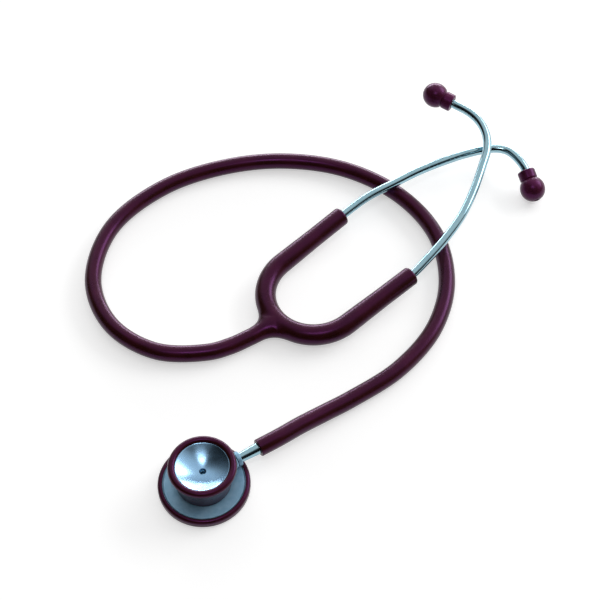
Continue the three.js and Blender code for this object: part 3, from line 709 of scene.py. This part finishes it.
def yoke_field(p):
    """Negative inside the yoke, positive outside, about a millimetre per millimetre."""
    u, v, w = p[..., 0], p[..., 1], p[..., 2]
    plan, edge = plan_distance(u, v)
    height = w - stub_height(u)
    body = np.hypot(np.maximum(plan + edge, 0), height) - edge
    along, aside = beside_arm(u, v)
    end = along - ARM_LENGTH
    corner = np.stack([body + END_ROUND, end + END_ROUND])
    body = np.minimum(corner.max(0), 0) + np.hypot(*np.maximum(corner, 0)) - END_ROUND
    socket = np.hypot(aside, w) - (EAR_R + SOCKET_GAP)
    depth = np.maximum(socket, ARM_LENGTH - SOCKET_SHOWN - along)
    lip = np.maximum(SOCKET_LIP - np.abs(body + depth), 0)
    return np.maximum(body, -depth) + lip**2 / 2


def gradient(field, p):
    steps = np.eye(3) * FIELD_STEP
    return np.stack([field(p + step) - field(p - step) for step in steps], -1) / (2 * FIELD_STEP)


def crossed_cells(inside):
    """The grid's cells that the surface crosses: those with corners on both sides of it."""
    nx, ny, nz = (n - 1 for n in inside.shape)
    corners = [
        inside[i : i + nx, j : j + ny, k : k + nz]
        for i in (0, 1) for j in (0, 1) for k in (0, 1)
    ]
    count = np.sum(corners, axis=0)
    return (count > 0) & (count < 8)


def surface_quads(inside, index):
    """A quad round each grid edge that the surface crosses, from the numbers of its four cells."""
    quads = []
    limits = np.array(inside.shape)
    for axis in range(3):
        one, two = (axis + 1) % 3, (axis + 2) % 3
        where = np.argwhere(inside != np.roll(inside, -1, axis))
        keep = (where[:, axis] < limits[axis] - 1) & (where[:, one] > 0) & (where[:, two] > 0)
        keep &= (where[:, one] < limits[one] - 1) & (where[:, two] < limits[two] - 1)
        where = where[keep]
        shift_one, shift_two = np.eye(3, dtype=int)[[one, two]]
        around = [where - shift_one - shift_two, where - shift_two, where, where - shift_one]
        ids = np.stack([index[tuple(c.T)] for c in around], 1)
        outward = inside[tuple(where.T)]
        quads.append(np.where(outward[:, None], ids, ids[:, ::-1]))
    return np.vstack(quads)


def zero_surface(field, low, high, cell):
    """Points, quads and outward directions of the field's zero surface."""
    axes = [np.arange(a, b, cell) for a, b in zip(low, high)]
    grid = np.stack(np.meshgrid(*axes, indexing="ij"), -1)
    inside = field(grid) < 0
    crossed = crossed_cells(inside)
    index = np.full(crossed.shape, -1)
    index[crossed] = np.arange(crossed.sum())
    points = grid[:-1, :-1, :-1][crossed] + cell / 2
    quads = surface_quads(inside, index)
    for _ in range(SMOOTHINGS):
        total = np.zeros_like(points)
        hits = np.zeros(len(points))
        for i in range(4):
            np.add.at(total, quads[:, i], points[quads].mean(1))
            np.add.at(hits, quads[:, i], 1)
        points = total / hits[:, None]
        for _ in range(PULLS):
            slope = gradient(field, points)
            points = points - slope * (field(points) / (slope**2).sum(-1))[:, None]
    slope = gradient(field, points)
    return points, quads, slope / np.linalg.norm(slope, axis=1)[:, None]


def cut_at_tube(points, quads):
    """Leaves the yoke's side of the tube's end face, with its edge drawn on to that face."""
    ahead = (points - TUBE_END) @ TUBE_OUT
    near_stub = points[:, 0] < BEND_U - BEND_R
    kept = ~(near_stub & (ahead < CUT_BACK))
    quads = quads[kept[quads].all(1)]
    drawn = near_stub & (ahead < CUT_DRAW)
    return points - np.where(drawn, ahead, 0)[:, None] * TUBE_OUT, quads


def bending(piece):
    """Bakes the piece's placement into its mesh."""
    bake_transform(piece)


def yoke():
    """The yoke as two halves that meet in its middle."""
    points, quads, normals = zero_surface(yoke_field, FIELD_LOW, FIELD_HIGH, FIELD_CELL)
    points, quads = cut_at_tube(points, quads)
    middle = points[quads].mean(1)
    halves = {"left": middle[:, 1] >= 0, "right": middle[:, 1] < 0}
    for side, chosen in halves.items():
        own = quads[chosen]
        used, renumbered = np.unique(own, return_inverse=True)
        faces = renumbered.reshape(own.shape).tolist()
        piece = make(
            f"yoke_{side}", points[used], faces, points[used][:, [1, 2, 0]], VINYL,
            HEADSET, weighted=False,
        )
        facing = normals[used] @ np.array(HEADSET.to_3x3()).T
        piece.data.normals_split_custom_set_from_vertices(facing.tolist())
        bending(piece)
        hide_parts("yoke")


yoke()


# Leaf spring: its two halves meet in the bend

LEAF_STEPS = 25
LEAF_SECTION = (
    (1, 0.8), (0.6, 1), (-0.6, 1), (-1, 0.8), (-1, -0.8), (-0.6, -1), (0.6, -1), (1, -0.8),
)


def leaf_half(side):
    sign = SIDE_SIGNS[side]
    around = ARM_LENGTH + np.linspace(0, math.pi / 2 - SPLAY, LEAF_STEPS) * BEND_R
    distances = np.r_[LEAF_START, LEAF_START + LEAF_TAPER, around]
    points, straight = [], []
    for d in distances:
        share = min((d - LEAF_START) / LEAF_TAPER, 1)
        half = (LEAF_TIP_HEIGHT + (LEAF_HEIGHT - LEAF_TIP_HEIGHT) * share) / 2
        turn = SPLAY + max(d - ARM_LENGTH, 0) / BEND_R
        out = max(ARM_LENGTH - d, 0)
        for across, up in LEAF_SECTION:
            r = BEND_R + LEAF_OFFSET + across * LEAF_THICK / 2
            u = BEND_U - r * math.sin(turn) + out * math.cos(SPLAY)
            v = r * math.cos(turn) + out * math.sin(SPLAY)
            points.append((u, sign * v, up * half))
            straight.append((d, across * LEAF_THICK / 2, up * half))
    count = len(LEAF_SECTION)
    faces = woven(len(distances), count, False) + [tuple(range(count))[::-1]]
    if side == "left":
        faces = [face[::-1] for face in faces]
    piece = make(f"leaf_{side}", points, faces, straight, SPRING, HEADSET)
    bending(piece)
    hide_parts("leaf_spring")


for arm_side in SIDE_SIGNS:
    leaf_half(arm_side)


# Chestpiece

PLATE_LEDGE = 1.9
CAVITY_RISE = 1.2
CAVITY_EDGE_RISE = 0.3
PLATE_BEVEL = 0.3
BOSS_START = 8
BOSS_ROUND = 0.55
CUTTER_REACH = 1


def on_body(piece, body, *nodes):
    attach(piece, body)
    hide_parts(*nodes)


def chestpiece_body():
    cone_r = PLATE_R - PLATE_LEDGE
    outline = [
        (0, PLATE_BOTTOM + CAVITY_RISE),
        (cone_r, PLATE_BOTTOM + CAVITY_EDGE_RISE),
        (cone_r, PLATE_BOTTOM, FINE_EDGE),
        (PLATE_R, PLATE_BOTTOM, EDGE),
        (PLATE_R, FLANGE_TOP, EDGE),
        (PLATE_FACE_R, FLANGE_TOP, FINE_EDGE),
        (PLATE_FACE_R - PLATE_BEVEL, PLATE_TOP, 0.22),
        (HUB_R, PLATE_TOP, HUB_FILLET),
        (HUB_R, HUB_TOP, EDGE),
        (REGISTER_R, HUB_TOP, FINE_EDGE),
        (REGISTER_R, REGISTER_FLOOR),
        (0, REGISTER_FLOOR),
    ]
    boss_outline = [
        (0, BOSS_START),
        (BOSS_R, BOSS_START),
        (BOSS_R, BOSS_REACH, BOSS_ROUND),
        (0, BOSS_REACH),
    ]
    boss = turned(boss_outline, sides=64)
    detent = Matrix.Translation((DETENT_X, 0, STEM_Z)) @ Matrix.Rotation(-math.pi / 2, 4, "X")
    cuts = [
        drill(JOURNAL_R + FIT, JOURNAL_END - FIT, BOSS_REACH + CUTTER_REACH, ALONG_STEM),
        drill(PORT_R + FIT, 0, HUB_TOP),
        drill(BALL_R + FIT, 0, HUB_R + CUTTER_REACH, detent),
    ]
    piece = lathe(
        "chestpiece", outline, SATIN, CHESTPIECE, sides=FINE_SIDES,
        joins=[(placed(boss[0], ALONG_STEM), boss[1])], cuts=cuts,
    )
    on_body(piece, "chestpiece", "chestpiece_body")


BELL_STEPS = 14
BELL_EDGE = 0.28
BELL_INSIDE_START = 0.985
BELL_HOLE_ROUND = 0.3


def bell_outside(z):
    """The ellipse that the bell's outside follows from its edge down to the hub."""
    depth = (BELL_TOP - BELL_SEAT) / math.sqrt(1 - (HUB_R / BELL_OUTER_R) ** 2)
    return BELL_OUTER_R * math.sqrt(1 - ((BELL_TOP - z) / depth) ** 2)


def bell():
    spigot_r, foot = REGISTER_R - FIT, REGISTER_FLOOR + FIT
    hole = PORT_R + FIT
    shares = np.linspace(BELL_INSIDE_START, (hole + BELL_HOLE_ROUND) / BELL_MOUTH_R, 40)
    inside = [
        (BELL_MOUTH_R * share, BELL_FLOOR + (BELL_TOP - BELL_FLOOR) * share**BELL_CURVE)
        for share in shares
    ]
    outline = [
        (hole, foot),
        (spigot_r, foot, EDGE),
        (spigot_r, BELL_SEAT),
        *[(bell_outside(z), z) for z in np.linspace(BELL_SEAT, BELL_TOP - 0.3, BELL_STEPS)],
        (BELL_OUTER_R, BELL_TOP, BELL_EDGE),
        (BELL_MOUTH_R + 0.05, BELL_TOP, BELL_EDGE),
        *inside,
        (hole, BELL_FLOOR - 0.25),
    ]
    piece = lathe("bell", outline, BELL, CHESTPIECE, True, FINE_SIDES)
    on_body(piece, "chestpiece", "bell_cup")


def sleeve():
    bead_r = BELL_MOUTH_R + SLEEVE_BEAD_R
    seat = BELL_TOP + FIT
    lip = 180 - math.degrees(math.asin((seat - SLEEVE_BEAD_Z) / SLEEVE_BEAD_R))
    rises = np.linspace(0.02, 1, 30)[:-1]
    outside = [
        (
            SLEEVE_FOOT_R + (SLEEVE_MOUTH_R - SLEEVE_FOOT_R) * rise**SLEEVE_CURVE,
            SLEEVE_FOOT + (SLEEVE_BEAD_Z - SLEEVE_FOOT) * rise,
        )
        for rise in rises
    ]
    inside = [(bell_outside(z) + FIT, z) for z in np.linspace(BELL_TOP, BELL_SEAT, BELL_STEPS)]
    outline = [
        (HUB_R + FIT, SLEEVE_FOOT + HUB_FILLET),
        (HUB_R + FIT + HUB_FILLET, SLEEVE_FOOT),
        (SLEEVE_FOOT_R, SLEEVE_FOOT, SOFT_EDGE),
        *outside,
        *arc(bead_r, SLEEVE_BEAD_Z, SLEEVE_BEAD_R, 0, lip, 24),
        (BELL_OUTER_R + FIT, seat),
        *inside,
    ]
    hole = drill(BOSS_R + FIT, HUB_R / 2, SLEEVE_MOUTH_R + CUTTER_REACH, ALONG_STEM, 64)
    piece = lathe(
        "sleeve", outline, VINYL, CHESTPIECE, True, FINE_SIDES, cuts=[hole]
    )
    on_body(piece, "chestpiece", "bell_sleeve")


PAD_ROUND = 1.0
SLOPE_ROUND = 0.8


def membrane():
    edge_r = PLATE_R - FIT
    slope_r = RIM_FOOT_R - FIT
    pad_r = slope_r - DIAPHRAGM_STEP
    low = RIM_FOOT_TOP + FIT
    half = DIAPHRAGM_THICK / 2
    outline = [
        (0, 0),
        (pad_r, 0, PAD_ROUND),
        (slope_r, low, SLOPE_ROUND),
        (edge_r, low, FINE_EDGE),
        (edge_r, low + DIAPHRAGM_THICK, FINE_EDGE),
        (slope_r - half, low + DIAPHRAGM_THICK, SLOPE_ROUND),
        (pad_r - half, DIAPHRAGM_THICK, PAD_ROUND),
        (0, DIAPHRAGM_THICK),
    ]
    piece = lathe("membrane", outline, MEMBRANE, CHESTPIECE, sides=FINE_SIDES)
    on_body(piece, "chestpiece", "diaphragm")


RIM_LOWER_ROUND = 1.3
RIM_UPPER_ROUND = 1.7
RIM_COVER_ROUND = 0.35


def rim():
    cover_r = PLATE_FACE_R + FIT
    outline = [
        (RIM_FOOT_R, RIM_LIFT, SOFT_EDGE),
        (RIM_R, RIM_LIFT, RIM_LOWER_ROUND),
        (RIM_R, RIM_TOP, RIM_UPPER_ROUND),
        (cover_r, RIM_TOP, RIM_COVER_ROUND),
        (cover_r, RIM_TOP - RIM_COVER, SMALL_EDGE),
        (RIM_GROOVE_R, RIM_TOP - RIM_COVER),
        (RIM_GROOVE_R, RIM_FOOT_TOP),
        (RIM_FOOT_R, RIM_FOOT_TOP, SMALL_EDGE),
    ]
    piece = lathe("rim", outline, VINYL, CHESTPIECE, True, FINE_SIDES)
    on_body(piece, "chestpiece", "diaphragm_rim")


# Stem, with its port and the detent's hollows

def stem():
    groove = BALL_R + FIT
    shank_start = BOSS_REACH + 2 * FIT + COLLAR_LENGTH
    shank_end = TUBE_START - FIT
    ridge = BARB_LENGTH / 2
    outline = [
        (PORT_R, JOURNAL_END, SMALL_EDGE),
        (JOURNAL_R, JOURNAL_END, EDGE),
        (JOURNAL_R, DETENT_X - groove),
        (DETENT_GROOVE_R, DETENT_X - groove, EDGE),
        (DETENT_GROOVE_R, DETENT_X + groove, EDGE),
        (JOURNAL_R, DETENT_X + groove),
        (JOURNAL_R, RING_X - RING_HALF),
        (RING_GROOVE_R, RING_X - RING_HALF, SMALL_EDGE),
        (RING_GROOVE_R, RING_X + RING_HALF, SMALL_EDGE),
        (JOURNAL_R, RING_X + RING_HALF),
        (JOURNAL_R, shank_start),
        (SHANK_R_INNER, shank_start),
        (SHANK_R_OUTER, shank_end, EDGE),
        (BARB_NECK_R, shank_end, SMALL_EDGE),
        (BARB_R, shank_end + RIDGE_PEAK * ridge, EDGE),
        (BARB_NECK_R, shank_end + ridge, SMALL_EDGE),
        (BARB_R, shank_end + (1 + RIDGE_PEAK) * ridge, EDGE),
        (BARB_NECK_R, shank_end + BARB_LENGTH, SMALL_EDGE),
        (PORT_R, shank_end + BARB_LENGTH, SMALL_EDGE),
    ]
    port = drill(PORT_R, 0, JOURNAL_R + CUTTER_REACH, Matrix.Rotation(math.pi / 2, 4, "Y"))
    piece = lathe("stem_shank", outline, CHROME, STEM, True, 64, cuts=[port])
    on_body(piece, "tube_and_yoke", "stem")


COLLAR_ROUND = 0.6


def collar():
    inner = JOURNAL_R + FIT
    start = BOSS_REACH + FIT
    outline = [
        (inner, start, SMALL_EDGE),
        (COLLAR_R, start, SOFT_EDGE),
        (COLLAR_R, start + COLLAR_LENGTH, COLLAR_ROUND),
        (inner, start + COLLAR_LENGTH, SMALL_EDGE),
    ]
    piece = lathe("collar", outline, SATIN, STEM, True, 64)
    on_body(piece, "chestpiece", "stem_collar")


for build in (chestpiece_body, bell, sleeve, membrane, rim, stem, collar):
    build()


# Ear tubes, their nipples and the soft tips

EAR_SPACING = 0.8
EAR_STEP = 1.2
TIP_COLLAR_LIP = 0.8
TIP_COLLAR_ROUND = 0.9
TIP_BALL_END = 76


def ear_tube(side):
    depths = (SOCKET_DEPTH, SOCKET_DEPTH / 2, 0)
    inside = [arm_point(SIDE_SIGNS[side], depth) for depth in depths]
    path, lengths = catmull([*inside, *EAR_ROUTES[side]], EAR_SPACING)
    stations = tube_stations(lengths[-1], EAR_R, EAR_BORE_R, EDGE, EAR_STEP, EDGE)
    piece = pipe(f"tube_{side}", path, lengths, stations, CHROME, HEADSET)
    on_body(piece, f"{side}_ear_tube", f"ear_tube_{side}")


def tube_end(side):
    """The frame at an ear tube's end, its Z along the tube's last stretch."""
    before, end = (Vector(p) for p in EAR_ROUTES[side][-2:])
    facing = Vector((0, 0, 1)).rotation_difference(end - before).to_matrix().to_4x4()
    return HEADSET @ Matrix.Translation(end) @ facing


def nipple(side):
    flange = FIT + NIPPLE_FLANGE
    ridge = (NIPPLE_LENGTH - flange) / 2
    insert_r = EAR_BORE_R - FIT
    outline = [
        (NIPPLE_BORE_R, -NIPPLE_INSERT, FINE_EDGE),
        (insert_r, -NIPPLE_INSERT, EDGE),
        (insert_r, FIT),
        (NIPPLE_R, FIT, SMALL_EDGE),
        (NIPPLE_R, flange, EDGE),
        (NIPPLE_NECK_R, flange, FINE_EDGE),
        (NIPPLE_R, flange + RIDGE_PEAK * ridge, SMALL_EDGE),
        (NIPPLE_NECK_R, flange + ridge, FINE_EDGE),
        (NIPPLE_R, flange + (1 + RIDGE_PEAK) * ridge, SMALL_EDGE),
        (NIPPLE_NECK_R, NIPPLE_LENGTH, EDGE),
        (NIPPLE_BORE_R, NIPPLE_LENGTH, FINE_EDGE),
    ]
    piece = lathe(f"nipple_{side}", outline, CHROME, tube_end(side), True, 48)
    on_body(piece, f"{side}_ear_tube", f"tip_nipple_{side}")


def ear_tip(side):
    neck = -90 + math.degrees(math.asin(TIP_NECK_R / TIP_BALL_R))
    ball = arc(0, TIP_BALL_AT, TIP_BALL_R, neck, TIP_BALL_END, 40, TIP_STRETCH)
    top = TIP_BALL_AT + TIP_STRETCH * TIP_BALL_R
    bore_end = NIPPLE_LENGTH + FIT
    outline = [
        (TIP_BORE_R, -TIP_COLLAR_BACK, SOFT_EDGE),
        (TIP_COLLAR_R, -TIP_COLLAR_BACK, TIP_COLLAR_ROUND),
        (TIP_COLLAR_R, TIP_COLLAR_TOP - 0.4, TIP_COLLAR_LIP),
        (TIP_NECK_R - 0.15, TIP_COLLAR_TOP + 0.25, EDGE),
        *[(r, z) for r, z in ball if z > TIP_COLLAR_TOP + 0.5],
        (TIP_HOLE_R, top, SOFT_EDGE),
        (TIP_HOLE_R, bore_end),
        (TIP_BORE_R, bore_end, EDGE),
    ]
    piece = lathe(f"tip_{side}", outline, SOFT, tube_end(side), True, 72)
    on_body(piece, f"{side}_ear_tip", f"ear_tip_{side}")


for arm_side in SIDE_SIGNS:
    for build in (ear_tube, nipple, ear_tip):
        build(arm_side)


# Nodes that stay as they are get their own materials

def carried_over():
    steel = turned_metal("spring_steel_node", *SPRING_STEEL, object_place)
    ball = polished(
        "ball_node", (0.76, 0.85, 0.87), (0.62, 0.74, 0.78), 0.13, (1, 1, 0.2), object_place
    )
    seal = vinyl(
        "seal_node", (0.012, 0.012, 0.013), (0.02, 0.02, 0.021), (0.03, 0.03, 0.03), 0.5,
        PLAIN_GLOSS, object_place,
    )
    finishes = {
        "detent_ball": ball,
        "detent_spring": steel,
        "detent_screw": steel,
        "spring_clip_left": steel,
        "spring_clip_right": steel,
        "stem_o_ring": seal,
    }
    for name, material in finishes.items():
        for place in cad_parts[name].material_slots:
            place.material = material


carried_over()


# Floor, world and lights, in metres

TABLE_COLOUR = (0.7, 0.7, 0.7, 1)
TABLE_ROUGHNESS = 0.9
TABLE_GLOW = 0.52
TABLE_HALF = 6.0
TABLE_DROP = 0.0002
ROOM_BRIGHT_SIDE = (0.3, 0.75, 0.59)
ROOM_STEPS = ((0.62, 0.01), (0.69, 0.08), (0.75, 0.45), (0.82, 0.85))
LIGHT_TARGET = (0.05, 0.1, 0)
LIGHTS = {
    "overhead": {"location": (0.0, -0.35, 1.4), "size": (0.6, 0.16), "power": 3},
    "back_right": {"location": (1.2, 0.8, 0.75), "size": (1.2, 0.6), "power": 9},
    "back": {"location": (0.1, 1.7, 0.25), "size": (2.2, 0.35), "power": 18},
}


def add_floor():
    """A matte table that the camera, gloss and glass see as white and that keeps the shadows."""
    material, tree, shader = new_material("table")
    shader.inputs["Base Color"].default_value = TABLE_COLOUR
    shader.inputs["Roughness"].default_value = TABLE_ROUGHNESS
    shader.inputs["Specular IOR Level"].default_value = 0
    rays = tree.nodes.new("ShaderNodeLightPath")
    seen = math_node(tree, "MAXIMUM", rays.outputs["Is Camera Ray"], rays.outputs["Is Glossy Ray"])
    seen = math_node(tree, "MAXIMUM", seen, rays.outputs["Is Transmission Ray"])
    glow = math_node(tree, "MULTIPLY", seen, TABLE_GLOW)
    shader.inputs["Emission Color"].default_value = (1, 1, 1, 1)
    tree.links.new(glow, shader.inputs["Emission Strength"])
    mesh = bpy.data.meshes.new("table")
    signs = ((-1, -1), (1, -1), (1, 1), (-1, 1))
    corners = [(x * TABLE_HALF, y * TABLE_HALF, 0) for x, y in signs]
    mesh.from_pydata(corners, [], [(0, 1, 2, 3)])
    mesh.materials.append(material)
    table = bpy.data.objects.new("table", mesh)
    table.location.z = -TABLE_DROP
    bpy.context.collection.objects.link(table)


def add_world():
    """A room that is bright behind and above the object, and dark on the other sides."""
    world = bpy.data.worlds.new("room")
    world.use_nodes = True
    bpy.context.scene.world = world
    tree = world.node_tree
    place = tree.nodes.new("ShaderNodeTexCoord").outputs["Generated"]
    towards = tree.nodes.new("ShaderNodeVectorMath")
    towards.operation = "DOT_PRODUCT"
    tree.links.new(place, towards.inputs[0])
    towards.inputs[1].default_value = Vector(ROOM_BRIGHT_SIDE).normalized()
    ramp = tree.nodes.new("ShaderNodeValToRGB")
    while len(ramp.color_ramp.elements) < len(ROOM_STEPS):
        ramp.color_ramp.elements.new(0.5)
    for element, (position, level) in zip(ramp.color_ramp.elements, ROOM_STEPS):
        element.position = position
        element.color = (level, level, level, 1)
    tree.links.new(remap(tree, towards.outputs["Value"], (-1, 1), (0, 1)), ramp.inputs["Fac"])
    background = tree.nodes["Background"]
    tree.links.new(ramp.outputs["Color"], background.inputs["Color"])
    background.inputs["Strength"].default_value = 1.0


def add_light(name, location, size, power):
    data = bpy.data.lights.new(name, "AREA")
    data.shape = "ELLIPSE"
    data.size, data.size_y = size
    data.energy = power
    light = bpy.data.objects.new(name, data)
    light.location = location
    light.rotation_euler = aimed(location, LIGHT_TARGET)
    bpy.context.collection.objects.link(light)


add_floor()
add_world()
for light_name, settings in LIGHTS.items():
    add_light(light_name, **settings)
bpy.context.scene.view_settings.view_transform = "Standard"
